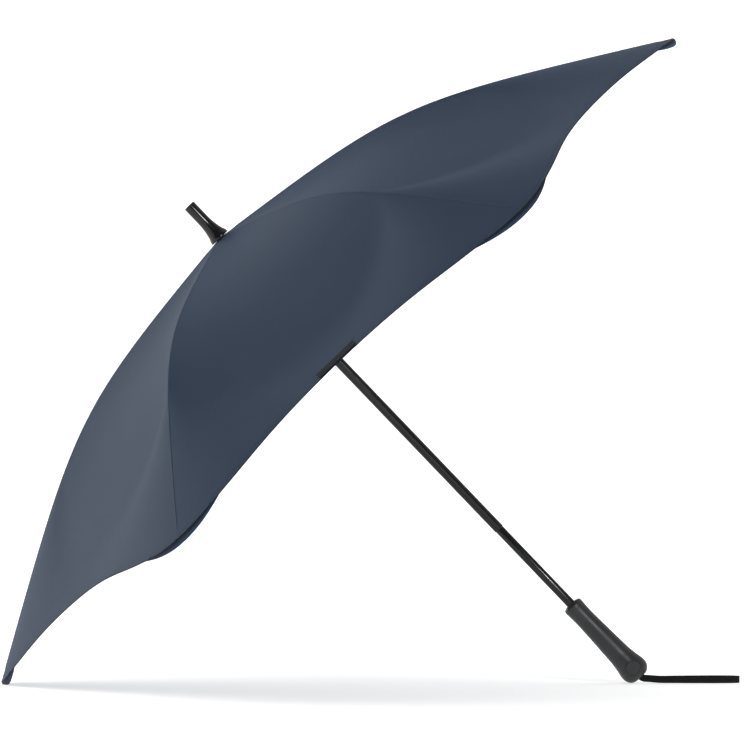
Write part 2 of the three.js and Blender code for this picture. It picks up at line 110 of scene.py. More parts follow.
def place(points):
    """Points in the umbrella's frame, in mm, as points in the model's frame, in metres."""
    turn = Matrix.Rotation(LEAN - math.pi / 2, 3, "Y")
    return (np.asarray(points, float) @ np.array(turn).T + APEX) * MM


def point_at(degrees_from_front, up, distance):
    """A point around the scene, by its bearing from the viewer's side and its height in degrees."""
    a, e = math.radians(degrees_from_front), math.radians(up)
    return Vector((math.sin(a) * math.cos(e), -math.cos(a) * math.cos(e), math.sin(e))) * distance


# Camera ---------------------------------------------------------------------------------------------

LOOK_AT = Vector((0.047, 0, 0.400))
camera = bpy.data.objects.new("camera", bpy.data.cameras.new("camera"))
camera.location = LOOK_AT + point_at(-1.87, 1.93, 20.9)
camera.rotation_euler = (LOOK_AT - camera.location).to_track_quat("-Z", "Y").to_euler()
camera.data.lens = 774.5
camera.data.clip_end = 400
bpy.context.scene.collection.objects.link(camera)
bpy.context.scene.camera = camera


# Materials ------------------------------------------------------------------------------------------

NOISE_RANGE = (0.3, 0.7)  # nearly all of a noise lies between these


class Paint:
    """A material whose nodes are added one line at a time."""

    def __init__(self, name, color, roughness, **values):
        self.material = bpy.data.materials.new(name)
        self.material.use_nodes = True
        self.tree = self.material.node_tree
        self.shader = self.tree.nodes["Principled BSDF"]
        self.color = color
        self.bumps = None
        values["Base_Color"] = (*color, 1)
        values["Roughness"] = roughness
        for socket, value in values.items():
            self.shader.inputs[socket.replace("_", " ")].default_value = value

    def node(self, kind, inputs=(), **settings):
        made = self.tree.nodes.new(kind)
        for key, value in settings.items():
            setattr(made, key, value)
        for socket, value in dict(inputs).items():
            if isinstance(value, bpy.types.NodeSocket):
                self.tree.links.new(value, made.inputs[socket])
            else:
                made.inputs[socket].default_value = value
        return made

    def math(self, operation, a, b=0.0):
        return self.node("ShaderNodeMath", {0: a, 1: b}, operation=operation).outputs[0]

    def where(self, stretch=(1, 1, 1)):
        """A place on the object, in metres, stretched along its axes."""
        spot = self.node("ShaderNodeTexCoord").outputs["Object"]
        return self.node("ShaderNodeMapping", {"Vector": spot, "Scale": stretch}).outputs[0]

    def on_cloth(self):
        """The place on the cloth, in metres along its two thread directions."""
        spot = self.node("ShaderNodeUVMap", uv_map="cloth").outputs[0]
        return self.node("ShaderNodeSeparateXYZ", {0: spot}).outputs

    def noise(self, vector, scale, detail=3.0):
        inputs = {"Vector": vector, "Scale": scale, "Detail": detail, "Roughness": 0.55}
        return self.node("ShaderNodeTexNoise", inputs).outputs[0]

    def vary_color(self, value, low, high):
        """Makes the colour darker and lighter with a noise, between two shares of it."""
        ramp = self.node("ShaderNodeValToRGB", {0: value})
        for element, position, share in zip(ramp.color_ramp.elements, NOISE_RANGE, (low, high)):
            element.position = position
            element.color = (*(c * share for c in self.color), 1)
        self.tree.links.new(ramp.outputs[0], self.shader.inputs["Base Color"])

    def vary_roughness(self, value, low, high):
        """Takes the roughness from low to high with a noise."""
        start, end = NOISE_RANGE
        inputs = {"Value": value, "From Min": start, "From Max": end, "To Min": low, "To Max": high}
        limited = self.node("ShaderNodeMapRange", inputs, clamp=True).outputs[0]
        self.tree.links.new(limited, self.shader.inputs["Roughness"])

    def bump(self, height, depth):
        """Adds relief, with its depth in metres."""
        inputs = {"Height": height, "Distance": depth, "Strength": 1.0}
        if self.bumps is not None:
            inputs["Normal"] = self.bumps
        self.bumps = self.node("ShaderNodeBump", inputs).outputs[0]
        self.tree.links.new(self.bumps, self.shader.inputs["Normal"])

    def weave(self, pitch, depth):
        """Plain weave: threads that pass over and under each other along the cloth's two directions."""
        u, v, _ = self.on_cloth()
        warp = self.math("SINE", self.math("MULTIPLY", u, math.pi / pitch))
        weft = self.math("SINE", self.math("MULTIPLY", v, math.pi / pitch))
        self.bump(self.math("MULTIPLY", warp, weft), depth)


def cloth_paint(name, color, sheen):
    paint = Paint(
        name,
        color,
        0.62,
        Sheen_Weight=sheen,
        Sheen_Roughness=0.4,
        Sheen_Tint=(0.5, 0.66, 0.95, 1),
        Specular_IOR_Level=0.06,
        Specular_Tint=(0.4, 0.62, 1.0, 1),
    )
    broad = paint.noise(paint.where(), 7.0, 4.0)
    paint.vary_color(broad, 0.93, 1.07)
    slubs = paint.noise(paint.where((60, 900, 900)), 1.0, 2.0)
    paint.vary_roughness(slubs, 0.56, 0.68)
    paint.bump(broad, 0.0006)
    paint.weave(0.00042, 0.00004)
    return paint.material


def webbing_paint(name, color, pitch):
    paint = Paint(name, color, 0.85, Specular_IOR_Level=0.12)
    u, v, _ = paint.on_cloth()
    slanted = paint.math("ADD", u, v)
    ribs = paint.math("SINE", paint.math("MULTIPLY", v, math.pi / pitch))
    twill = paint.math("SINE", paint.math("MULTIPLY", slanted, math.pi / pitch))
    paint.bump(paint.math("MULTIPLY", ribs, twill), 0.00012)
    paint.vary_color(paint.noise(paint.where(), 220.0), 0.75, 1.25)
    return paint.material


def lacquer_paint(name, color, roughness):
    paint = Paint(name, color, roughness, Specular_IOR_Level=0.35)
    paint.vary_roughness(paint.noise(paint.where(), 90.0, 5.0), roughness * 0.8, roughness * 1.3)
    paint.bump(paint.noise(paint.where(), 260.0, 2.0), 0.000012)
    return paint.material


def plastic_paint(name, color, roughness, grain):
    paint = Paint(name, color, roughness, Specular_IOR_Level=0.45)
    paint.vary_roughness(paint.noise(paint.where(), 60.0, 4.0), roughness * 0.85, roughness * 1.15)
    paint.vary_color(paint.noise(paint.where(), 45.0), 0.85, 1.15)
    paint.bump(paint.noise(paint.where(), 2600.0, 2.0), grain)
    return paint.material


def metal_paint(name, color, roughness):
    paint = Paint(name, color, roughness, Metallic=0.9)
    drawn = paint.noise(paint.where((40, 900, 900)), 1.0, 3.0)
    paint.vary_roughness(drawn, roughness * 0.75, roughness * 1.35)
    paint.vary_color(paint.noise(paint.where(), 120.0), 0.8, 1.2)
    paint.bump(drawn, 0.00001)
    return paint.material


NAVY = (0.018, 0.030, 0.054)
canopy_paint = cloth_paint("canopy fabric", NAVY, 0.05)
# painted shade: the hem is the canopy's own fabric turned under, drawn 0.6 times as bright to stand for the
# shade along the rim
hem_shade_paint = cloth_paint("hem fabric with painted shade", tuple(0.6 * c for c in NAVY), 0.03)
# painted light: the pocket is the canopy's own fabric, drawn 1.3 times lighter so that its wall looks lit
pocket_lit_paint = cloth_paint("pocket fabric painted lighter", tuple(1.3 * c for c in NAVY), 0.05)
thread_paint = Paint("thread", tuple(0.55 * c for c in NAVY), 0.7).material
# painted shade: a near-black sheet that stands for the shade inside a tip pocket's mouth
mouth_shade_paint = Paint("pocket mouth shade", (0.004, 0.005, 0.008), 0.9).material
tape_paint = webbing_paint("strap webbing", (0.011, 0.011, 0.012), 0.0009)
band_paint = webbing_paint("tie band webbing", (0.011, 0.013, 0.014), 0.0006)
shaft_paint = lacquer_paint("black lacquer", (0.006, 0.006, 0.007), 0.2)
ferrule_paint = lacquer_paint("ferrule gloss", (0.006, 0.006, 0.007), 0.2)
grip_paint = plastic_paint("grip rubber", (0.018, 0.019, 0.020), 0.44, 0.00003)
disc_paint = plastic_paint("disc rubber", (0.016, 0.017, 0.018), 0.46, 0.00001)
plastic = plastic_paint("black plastic", (0.016, 0.016, 0.018), 0.42, 0.00001)
fibre = plastic_paint("glass fibre", (0.011, 0.011, 0.013), 0.34, 0.000006)
rib_metal = metal_paint("lacquered steel", (0.05, 0.05, 0.055), 0.33)
spring_metal = metal_paint("spring steel", (0.45, 0.45, 0.46), 0.28)


# Meshes ---------------------------------------------------------------------------------------------


def new_object(name, mesh, material):
    mesh.materials.append(material)
    obj = bpy.data.objects.new(name, mesh)
    bpy.context.scene.collection.objects.link(obj)
    return obj


def grid_faces(rows, columns, closed=False):
    """The quads of a grid of points, with its last column joined to its first where it is closed."""
    count = columns if closed else columns - 1
    r, c = np.meshgrid(np.arange(rows - 1), np.arange(count), indexing="ij")
    n = (c + 1) % columns
    quads = [r * columns + c, r * columns + n, (r + 1) * columns + n, (r + 1) * columns + c]
    return np.stack([q.ravel() for q in quads], 1)


def smooth_mesh(name, placed, faces, cloth=None):
    """A mesh from points in metres, with each point's place on the cloth in mm where it is cloth."""
    mesh = bpy.data.meshes.new(name)
    mesh.from_pydata([tuple(p) for p in placed], [], [tuple(int(i) for i in f) for f in faces])
    mesh.polygons.foreach_set("use_smooth", [True] * len(mesh.polygons))
    if cloth is not None:
        layer = mesh.uv_layers.new(name="cloth")
        corner = np.zeros(len(mesh.loops), int)
        mesh.loops.foreach_get("vertex_index", corner)
        layer.data.foreach_set("uv", (np.asarray(cloth)[corner] * MM).ravel())
    return mesh


def build(name, points, faces, material, normals=None, cloth=None):
    """A piece from points in the umbrella's frame, with smooth or given normals at its faces' corners."""
    placed = place(points)
    placed[:, 2] = np.maximum(placed[:, 2], LOWEST)
    mesh = smooth_mesh(name, placed, faces, cloth)
    if normals is not None:
        turned = place(normals) - place(np.zeros((1, 3)))
        mesh.normals_split_custom_set([tuple(n) for n in turned / MM])
    mesh.update()
    return new_object(name, mesh, material)


def shell(name, outer, normals, thickness, material, cloth):
    """A thin closed sheet from a grid of points on its outer face, with an inner face and edges."""
    rows, columns = outer.shape[:2]
    count = rows * columns
    top = outer.reshape(-1, 3)
    up = normals.reshape(-1, 3)
    points = np.concatenate([top, top - up * thickness])
    quads = grid_faces(rows, columns)
    border = np.concatenate([
        np.arange(columns),
        np.arange(1, rows) * columns + columns - 1,
        (rows - 1) * columns + np.arange(columns - 2, -1, -1),
        np.arange(rows - 2, 0, -1) * columns,
    ])
    after = np.roll(border, -1)
    rim = np.stack([border, border + count, after + count, after], 1)
    facing = np.cross(outer[1:, 1:] - outer[:-1, :-1], outer[1:, :-1] - outer[:-1, 1:])
    if (facing * normals[1:, 1:]).sum() < 0:
        quads, rim = quads[:, ::-1], rim[:, ::-1]
    faces = np.concatenate([quads, quads[:, ::-1] + count, rim])
    side = np.cross(points[rim[:, 1]] - points[rim[:, 0]], points[rim[:, 3]] - points[rim[:, 0]])
    side /= np.maximum(np.linalg.norm(side, axis=1), 1e-9)[:, None]
    corners = [up[quads], -up[quads[:, ::-1]], np.repeat(side[:, None], 4, 1)]
    corners = np.concatenate([part.reshape(-1, 3) for part in corners])
    flat = np.tile(cloth.reshape(-1, 2), (2, 1))
    return build(name, points, faces, material, corners, flat)


def soften(outline, steps=3, share=0.25):
    """Rounds a closed outline's corners by cutting each off: first this share of a side, then a quarter."""
    points = np.asarray(outline, float)
    for _ in range(steps):
        ahead = np.roll(points, -1, axis=0)
        near, far = points * (1 - share) + ahead * share, points * share + ahead * (1 - share)
        points = np.stack([near, far], 1).reshape(-1, 2)
        share = 0.25
    return points


def oblong(half_long, half_wide):
    """The four corners of a rectangle about the origin."""
    return [(x * half_long, y * half_wide) for x, y in ((1, 1), (-1, 1), (-1, -1), (1, -1))]


# The canopy's outer face ----------------------------------------------------------------------------


def softplus(x):
    return np.log1p(np.exp(x))


def smoothstep(low, high, x):
    t = np.clip((x - low) / (high - low), 0, 1)
    return t * t * (3 - 2 * t)


def drop(radius):
    """How far a rib has dropped below the apex: a shallow line that turns into a steeper one."""
    turned = softplus((radius - BEND_AT) / BEND_LENGTH) - softplus(-BEND_AT / BEND_LENGTH)
    return CROWN_SLOPE * radius + (RIM_SLOPE - CROWN_SLOPE) * BEND_LENGTH * turned


def canopy_height(along, across):
    """The outer face's height over a point along a rib and across it."""
    angle = HALF_PANEL - np.abs(HALF_PANEL - np.abs(np.arctan2(across, along)))
    share = angle / HALF_PANEL
    radius = np.hypot(along, across)
    # eased so that the fabric runs level over a panel's middle line
    eased = angle * (1 - share**EASE / (EASE + 1))
    along, across = radius * np.cos(eased), radius * np.sin(eased)
    width = CREASE + (TIP_CREASE - CREASE) * smoothstep(*SPREAD, along)
    spread = across * np.tanh(across / width)
    rib_radius = along + spread * math.tan(HALF_PANEL)
    loose = np.sin(math.pi * np.minimum(rib_radius, SAG_END) / SAG_END) ** 1.5
    sag = SAG * loose * share * (2 - share)
    return -drop(rib_radius) - sag


def hem_radius(share):
    """The rim's radius at a share of half a panel from its rib, square to the panel's middle line."""
    round_off = np.hypot(share, TIP_ROUND) - TIP_ROUND
    lobe = LOBE_REACH * np.maximum(0, 1 - (share / LOBE_SHARE) ** 2) ** 2
    rise = 0.5 * EDGE_PULL / math.hypot(1, TIP_ROUND)
    return SPAN - EDGE_IN - EDGE_PULL * round_off + rise * share * share + lobe


def canopy_normal(along, across, side):
    """The outer face's direction, taken on one side of a rib where it creases."""
    step, aside = 0.5, side * 0.2
    out = np.where(np.abs(across) < 0.01, side * 0.3, across)
    by_along = (canopy_height(along + step, out) - canopy_height(along - step, out)) / (2 * step)
    outward = (canopy_height(along, out + aside) - canopy_height(along, out)) / aside
    normal = np.stack([-by_along, -outward, np.ones_like(by_along)], -1)
    return normal / np.linalg.norm(normal, axis=-1, keepdims=True)


def on_canopy(along, across, side, above=0.0):
    """Points on the canopy in a rib's own frame, or above it along its normal."""
    points = np.stack([along, across, canopy_height(along, across)], -1)
    return points + canopy_normal(along, across, side) * np.asarray(above)[..., None]


def to_spoke(k, points):
    """Turns points from a rib's own frame to its place round the shaft."""
    a = (k - 1) * math.pi / 3
    turn = np.array([[math.cos(a), -math.sin(a), 0], [math.sin(a), math.cos(a), 0], [0, 0, 1]])
    return np.asarray(points, float) @ turn.T


def panel_place(along, across, side):
    """Where a point lies in its flat panel: across the panel's middle line, and along it."""
    a = side * HALF_PANEL
    x = across * math.cos(a) - along * math.sin(a)
    y = along * math.cos(a) + across * math.sin(a)
    return np.stack([x, y], -1)


# Bands: each half of a rib's fabric is cut into bands that ride on its rib or its outer rib
BANDS = {
    # name: (from radius, to radius, rides on, tilt of its fold in degrees, share kept)
    "root": (CAP_R, 64, "rib", -3.95, 0.493),
    "upper": (64, 150, "rib", 6.5, 0.30),
    "inner": (150, RIB_END, "rib", 9.79, 0.194),
    "mid": (RIB_END, 430, "outer_rib", 13.3, 0.117),
    "rim": (430, None, "outer_rib", 13.89, 0.082),
}


def fold_with(obj, k, band):
    """Makes a piece ride on its rib or outer rib, as its band says."""
    start, end, body, tilt, keep = BANDS[band]
    end = end or SPAN - 4
    tilt = math.radians(tilt)
    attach(obj, f"{body}_{k}")
    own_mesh(obj)


def side_name(side):
    return "left" if side > 0 else "right"


def canopy_half(k, side, band):
    """One rib's fabric on one side, between two radii or out to the hem."""
    start, end = BANDS[band][:2]
    share = np.linspace(0, 1, 25) ** 1.25  # closer together by the rib
    outer_edge = hem_radius(share) if end is None else np.full_like(share, end)
    rows = 30 if end is None else max(6, round((end - start) / ROW_PITCH))
    t = np.linspace(0, 1, rows + 1)[:, None]
    radius = start + (outer_edge - start) * t
    angle = side * share * HALF_PANEL
    along, across = radius * np.cos(angle), radius * np.sin(angle)
    grid = on_canopy(along, across, side)
    normals = canopy_normal(along, across, side)
    flat = panel_place(along, across, side)
    name = f"canopy_{band}_{side_name(side)}_{k}"
    obj = shell(name, to_spoke(k, grid), to_spoke(k, normals), CLOTH, canopy_paint, flat)
    fold_with(obj, k, band)
    return obj


def canopy_cap():
    """The fabric round the crown, which stays with the shaft."""
    radius = np.linspace(FABRIC_HOLE, CAP_R, 6)[:, None]
    azimuth = np.linspace(0, 2 * math.pi, 24 * RIBS + 1)[None, :]
    nearest_rib = np.round(azimuth / (2 * HALF_PANEL))
    off = azimuth - nearest_rib * 2 * HALF_PANEL
    along, across = radius * np.cos(off), radius * np.sin(off)
    height = canopy_height(along, across)
    grid = np.stack([radius * np.cos(azimuth), radius * np.sin(azimuth), height], -1)
    lean = 0.12 * np.cos(azimuth) + 0 * radius, 0.12 * np.sin(azimuth) + 0 * radius
    normals = np.stack([*lean, np.ones_like(height)], -1)
    normals /= np.linalg.norm(normals, axis=-1, keepdims=True)
    obj = shell("canopy_cap", grid, normals, CLOTH, canopy_paint, grid[..., :2])
    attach(obj, "shaft")


# Stitching, hem, seams and tip pockets ---------------------------------------------------------------


def lengths_along(path):
    """How far along a path each of its points lies."""
    return np.concatenate([[0], np.cumsum(np.linalg.norm(np.diff(path, axis=0), axis=1))])


def walk(path, distances):
    """Points at these distances along a path: places in its first columns, then what runs with them."""
    run = lengths_along(path[:, :3])
    return np.stack([np.interp(distances, run, path[:, i]) for i in range(path.shape[1])], 1)


def smooth_profile(points, count):
    """A profile through these points, evenly spaced along it, with its corners eased."""
    points = np.asarray(points, float)
    even = walk(points, np.linspace(0, lengths_along(points)[-1], count))
    for _ in range(3):
        even[1:-1] = (even[:-2] + 2 * even[1:-1] + even[2:]) / 4
    return even


def stitches(name, path, ups, material, width=0.5, height=0.22):
    """A row of single stitches along a path that lies on the cloth."""
    run = lengths_along(path)[-1]
    starts = np.arange(STITCH_PITCH / 2, run - STITCH, STITCH_PITCH)
    track = np.concatenate([path, ups], 1)
    first, last = walk(track, starts), walk(track, starts + STITCH)
    a, b, up = first[:, :3], last[:, :3], first[:, 3:]
    forward = (b - a) / np.linalg.norm(b - a, axis=1)[:, None]
    out = np.cross(forward, up) * width / 2
    low, high = -STITCH_ROOT * up, height * up
    ends = forward * STITCH * STITCH_TAPER
    corners = [a - out + low, a + out + low, b + out + low, b - out + low]
    corners += [a - out * 0.5 + high + ends, a + out * 0.5 + high + ends]
    corners += [b + out * 0.5 + high - ends, b - out * 0.5 + high - ends]
    points = np.stack(corners, 1).reshape(-1, 3)
    cube = np.array([[3, 2, 1, 0], [4, 5, 6, 7], [0, 1, 5, 4], [1, 2, 6, 5], [2, 3, 7, 6], [3, 0, 4, 7]])
    faces = (cube[None] + 8 * np.arange(len(a))[:, None, None]).reshape(-1, 4)
    return build(name, points, faces, material)


def rim_at(share, side):
    """Along, across and the inward direction in plan, at a share of half a panel along the rim."""
    def plan(s):
        radius, angle = hem_radius(s), side * s * HALF_PANEL
        return np.stack([radius * np.cos(angle), radius * np.sin(angle)], -1)

    here, tangent = plan(share), plan(share + 1e-4) - plan(share - 1e-4)
    tangent /= np.linalg.norm(tangent, axis=-1, keepdims=True)
    return here, np.stack([-np.abs(tangent[..., 1]), tangent[..., 0] * side], -1)


def near_rim(share, side, inset, above):
    """Points at a distance in from the rim and above the cloth, with the cloth's normals there."""
    here, inward = rim_at(share, side)
    along, across = np.moveaxis(here + inward * np.asarray(inset)[..., None], -1, 0)
    across = side * np.maximum(side * across, 0)
    return on_canopy(along, across, side, above), canopy_normal(along, across, side)


def share_at(distance):
    """The share of half a panel at a distance from the tip along the rim."""
    share = np.linspace(0, 1, 400)
    path = near_rim(share, 1, 0 * share, 0 * share)[0]
    return np.interp(distance, lengths_along(path), share)


def tube_faces(rows, columns):
    """The faces of a tube of rings of points, with both ends filled."""
    ends = [tuple(range(columns))[::-1], tuple(range((rows - 1) * columns, rows * columns))]
    return [*grid_faces(rows, columns, closed=True), *ends]


def tube(name, rings, material, cloth):
    """A closed tube from rings of points."""
    faces = tube_faces(*rings.shape[:2])
    obj = build(name, rings.reshape(-1, 3), faces, material, cloth=cloth)
    face_outward(obj)
    return obj


def face_outward(obj):
    """Turns a closed piece's faces outward."""
    made = bmesh.new()
    made.from_mesh(obj.data)
    bmesh.ops.recalc_face_normals(made, faces=made.faces)
    made.to_mesh(obj.data)
    made.free()


STITCHED_IN = 1.6  # from an edge to the row of stitches along it
HEM_THREADS = 500  # mm of weave along half a hem of about 300 mm, so that it looks more closely woven
HEM_SECTION = soften([
    (HEM_WIDTH, -0.5),
    (HEM_WIDTH, -1.0),
    (0.4, -1.1),
    (-0.5, -0.6),
    (-0.35, 0.15),
    (0.5, 0.3),
    (1.7, 0.25),
    (1.9, -0.1),
], steps=2)


def hem_half(k, side):
    """The edge turned under and sewn down, on one side of a rib."""
    share = np.linspace(0, 1, 61)[:, None] + 0 * HEM_SECTION[:, 0]
    inset = 0 * share + HEM_SECTION[:, 0]
    above = 0 * share + HEM_SECTION[:, 1]
    rings = near_rim(share, side, inset, above)[0]
    flat = np.stack([share * HEM_THREADS, inset], -1).reshape(-1, 2)
    # the hem takes the canopy's fabric painted darker, as painted shade along the rim
    hem = tube(f"hem_{side_name(side)}_{k}", to_spoke(k, rings), hem_shade_paint, flat)
    t = np.linspace(0, 1, 120)
    line, up = near_rim(t, side, 0 * t + HEM_WIDTH - STITCHED_IN, 0 * t)
    row = stitches(f"hem_stitches_{side_name(side)}_{k}", to_spoke(k, line), to_spoke(k, up), thread_paint)
    for obj in (hem, row):
        fold_with(obj, k, "rim")


SEAM_SECTION = np.array([[-1.7, -0.1], [-1.4, 0.2], [-0.5, 0.26], [0.5, 0.26], [1.4, 0.2], [1.7, -0.1]])
SEAM_STITCHED = 3  # the point of its section that the stitches lie on


def rib_seam(k, start, end, body):
    """The seam that joins two panels over a rib: a narrow fold with a row of stitches beside its middle."""
    radii = np.linspace(start, end, round((end - start) / 6))[:, None]
    crosswise = SEAM_SECTION[:, 0] + 0 * radii
    above = SEAM_SECTION[:, 1] + 0 * radii
    along = radii + 0 * crosswise
    normals = canopy_normal(along, 0 * along, 1) * 0.5 + canopy_normal(along, 0 * along, -1) * 0.5
    grid = np.stack([along, crosswise, canopy_height(along, crosswise)], -1) + normals * above[..., None]
    flat = np.stack([crosswise, along], -1)
    lean = crosswise[..., None] * np.array([0, 0.25, 0])
    shaded = (normals + lean) / np.linalg.norm(normals + lean, axis=-1, keepdims=True)
    name = f"seam_{body}_{k}"
    seam = shell(name, to_spoke(k, grid), to_spoke(k, shaded), 0.4, canopy_paint, flat)
    ups = normals[:, SEAM_STITCHED]
    line = grid[:, SEAM_STITCHED] + ups * 0.02
    row = stitches(f"seam_stitches_{body}_{k}", to_spoke(k, line), to_spoke(k, ups), thread_paint)
    for obj in (seam, row):
        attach(obj, f"{body}_{k}")


def grid_normals(grid, toward):
    """A grid's own directions, all on the side that faces this way."""
    normals = np.cross(np.gradient(grid, axis=0), np.gradient(grid, axis=1))
    normals /= np.maximum(np.linalg.norm(normals, axis=-1, keepdims=True), 1e-9)
    return normals * (1 if (normals @ np.array(toward)).sum() > 0 else -1)


POCKET_SECTION = smooth_profile([
    POCKET_EDGE,
    [-1.4, -1.9],
    [-2.6, -4.5],
    [-2.4, -8],
    [0, -10.5],
    [8, -11.5],
    [20, -10.5],
    [POCKET_DEPTH, -8.5],
], 44)


def tip_pocket(k, side):
    """The fabric under a tip that takes the ends of its arms, its mouth along the hem."""
    distance = np.linspace(0, POCKET_HALF, 30)
    share = share_at(distance)[None, :]
    close = (1 - (distance / POCKET_HALF) ** 2)[None, :]
    edge_in, edge_up = POCKET_EDGE
    inset, below = POCKET_SECTION[:, :1], POCKET_SECTION[:, 1:]
    inset = np.where(inset < edge_in, edge_in + (inset - edge_in) * close, inset)
    below = edge_up + (below - edge_up) * close
    grid = near_rim(share + 0 * inset, side, inset, below)[0]
    run = lengths_along(POCKET_SECTION)[:, None]
    flat = np.stack([distance[None, :] + 0 * inset, run + 0 * share], -1)
    name = f"tip_pocket_{side_name(side)}_{k}"
    normals = grid_normals(grid, (0, 0, -1))
    # the canopy's fabric painted lighter: painted light on the pocket's wall
    pocket = shell(name, to_spoke(k, grid), to_spoke(k, normals), CLOTH, pocket_lit_paint, flat)
    fold_with(pocket, k, "rim")


def tip_mouth_shade(k, side):
    """A near-black sheet, painted shade in the mouth of a tip's pocket just below the hem, and the bar tack
    that closes its end, in the same near-black.
    """
    distance = np.linspace(0, SLIT_HALF, 30)
    share = share_at(distance)[None, :]
    open_by = np.sqrt(1 - (distance / (SLIT_HALF + 0.5)) ** 2)[None, :]
    t = np.linspace(0, 1, 6)[:, None]
    inset = 0.2 - (0.7 + 1.8 * np.sqrt(t)) * open_by
    above = -0.9 - 1.5 * t * open_by
    grid = near_rim(share + 0 * inset, side, inset, above)[0]
    normals = grid_normals(grid, (1, 0, 0))
    flat = np.stack([distance[None, :] + 0 * inset, inset], -1)
    name = f"tip_mouth_shade_{side_name(side)}_{k}"
    # a near-black sheet: painted shade in the pocket's mouth
    mouth_shade = shell(name, to_spoke(k, grid), to_spoke(k, normals), 0.2, mouth_shade_paint, flat)
    tacked = share_at(np.linspace(SLIT_HALF - 1, SLIT_HALF + 3, 12))
    rows = [near_rim(tacked, side, 0 * tacked + row, 0 * tacked + 0.3) for row in (0.1, 0.7, 1.3, 1.9)]
    path = np.concatenate([points if i % 2 else points[::-1] for i, (points, _) in enumerate(rows)])
    ups = np.concatenate([up for _, up in rows])
    name = f"bar_tack_{side_name(side)}_{k}"
    tack = stitches(name, to_spoke(k, path), to_spoke(k, ups), mouth_shade_paint, width=0.7, height=0.4)
    for obj in (mouth_shade, tack):
        fold_with(obj, k, "rim")


for k in range(1, RIBS + 1):
    for side in (1, -1):
        for band in BANDS:
            piece = canopy_half(k, side, band)
            if side == 1 and band == "inner":
                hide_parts(f"canopy_{k}")
        hem_half(k, side)
        tip_pocket(k, side)
        tip_mouth_shade(k, side)
    rib_seam(k, CAP_R, RIB_END, "rib")
    rib_seam(k, RIB_END, SPAN - 14, "outer_rib")
canopy_cap()


# Tie band -------------------------------------------------------------------------------------------

BAND_LENGTH = 63
BAND_WIDTH = 13
BAND_IN = 7  # its middle line, in from the rim
BAND_THICK = 1.2
BAND_ABOVE = 1.65  # its outer face above the fabric
BORDER_RUN = 137  # along the row of stitches round it, which stops just short of its start


def on_front_panel(radius, across, above):
    """Points on the panel that faces the viewer: out along its middle line, and across it."""
    distance, off = np.hypot(radius, across), np.arctan2(across, radius)
    from_rib = HALF_PANEL - np.abs(off)
    height = canopy_height(distance * np.cos(from_rib), distance * np.sin(from_rib))
    return np.stack([across, -radius, height + above], -1)


def tie_band():
    """The strap sewn flat to the front panel's hem, with a row of stitches round its edge."""
    u = np.linspace(-1, 1, 33)[None, :]
    v = np.linspace(-1, 1, 13)[:, None]
    # an oblong grid pulled in at its corners and pressed down at its edges
    reach = (BAND_LENGTH / 2) * u * (1 - 0.012 * np.abs(v) ** 6)
    width = (BAND_WIDTH / 2) * v * (1 - 0.06 * np.abs(u) ** 14)
    edge = np.maximum(np.abs(u) ** 30 + 0 * v, np.abs(v) ** 8 + 0 * u)
    above = BAND_ABOVE - 0.45 * edge
    middle = hem_radius(1.0) - BAND_IN
    grid = on_front_panel(middle + width, reach, above)
    flat = np.stack([reach, width], -1)
    band = shell("tie_band_cloth", grid, grid_normals(grid, (0, 0, 1)), BAND_THICK, band_paint, flat)
    fold_with(band, 5, "rim")
    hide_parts("tie_band")
    turns = soften(oblong(BAND_LENGTH / 2 - STITCHED_IN, BAND_WIDTH / 2 - STITCHED_IN), share=0.03)
    loop = walk(np.concatenate([turns, turns[:1]]), np.linspace(0, BORDER_RUN, 120))
    path = on_front_panel(middle + loop[:, 1], loop[:, 0], BAND_ABOVE - 0.03)
    up = np.tile([0, -0.35, 0.93], (len(path), 1))
    border = stitches("tie_band_stitches", path, up, thread_paint)
    fold_with(border, 5, "rim")


tie_band()


# Ferrule and handle -----------------------------------------------------------------------------------

SHARP = math.radians(38)


def close_axis(obj):
    """Merges the points that meet on the axis, and keeps the edges that turn sharply."""
    made = bmesh.new()
    made.from_mesh(obj.data)
    bmesh.ops.remove_doubles(made, verts=made.verts, dist=1e-6)
    bmesh.ops.dissolve_degenerate(made, edges=made.edges, dist=1e-7)
    bmesh.ops.recalc_face_normals(made, faces=made.faces)
    made.to_mesh(obj.data)
    made.free()
    obj.data.shade_smooth()
    obj.data.set_sharp_from_angle(angle=SHARP)


def turned(name, outline, material, sides=72, stand=lambda points: points):
    """A round closed piece from a loop of [radius, height] points."""
    angles = np.arange(sides) * 2 * math.pi / sides
    outline = np.asarray(outline, float)
    rings = np.stack([
        outline[:, 0] * np.cos(angles)[:, None],
        outline[:, 0] * np.sin(angles)[:, None],
        outline[:, 1] + 0 * angles[:, None],
    ], -1)
    rings = np.concatenate([rings, rings[:1]])
    faces = grid_faces(sides + 1, len(outline), closed=True)
    obj = build(name, stand(rings.reshape(-1, 3)), faces, material)
    close_axis(obj)
    return obj


def ferrule():
    """The glossy end piece with its flared foot, and the washer under it."""
    flare = smooth_profile([
        [13.5, 2.6],
        [12.85, 4.2],
        [11.2, 8],
        [10, 13],
        [9.1, 18],
        [8.3, 24],
        [8, 30],
        [8, 40],
    ], 40)
    outline = [[7.1, 1], [13.3, 1], [13.5, 1.2], *flare, [8, 56.6], [7.9, 57.1], [7.3, 57.9], [7.0, 58]]
    outline += [[0, 58], [0, 40], [7.1, 39.6]]
    obj = turned("ferrule_cap", outline, ferrule_paint)
    ring = turned(
        "ferrule_washer",
        [[7.1, -0.35], [12.8, -0.35], [13.6, -0.05], [13.8, 0.15], [13.8, 0.6], [13.65, 0.72], [7.1, 0.72]],
        plastic,
    )
    for piece, node, slot in ((obj, "ferrule", "ferrule_gloss"), (ring, "ferrule_ring", "hard_plastic")):
        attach(piece, "shaft")
        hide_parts(node)


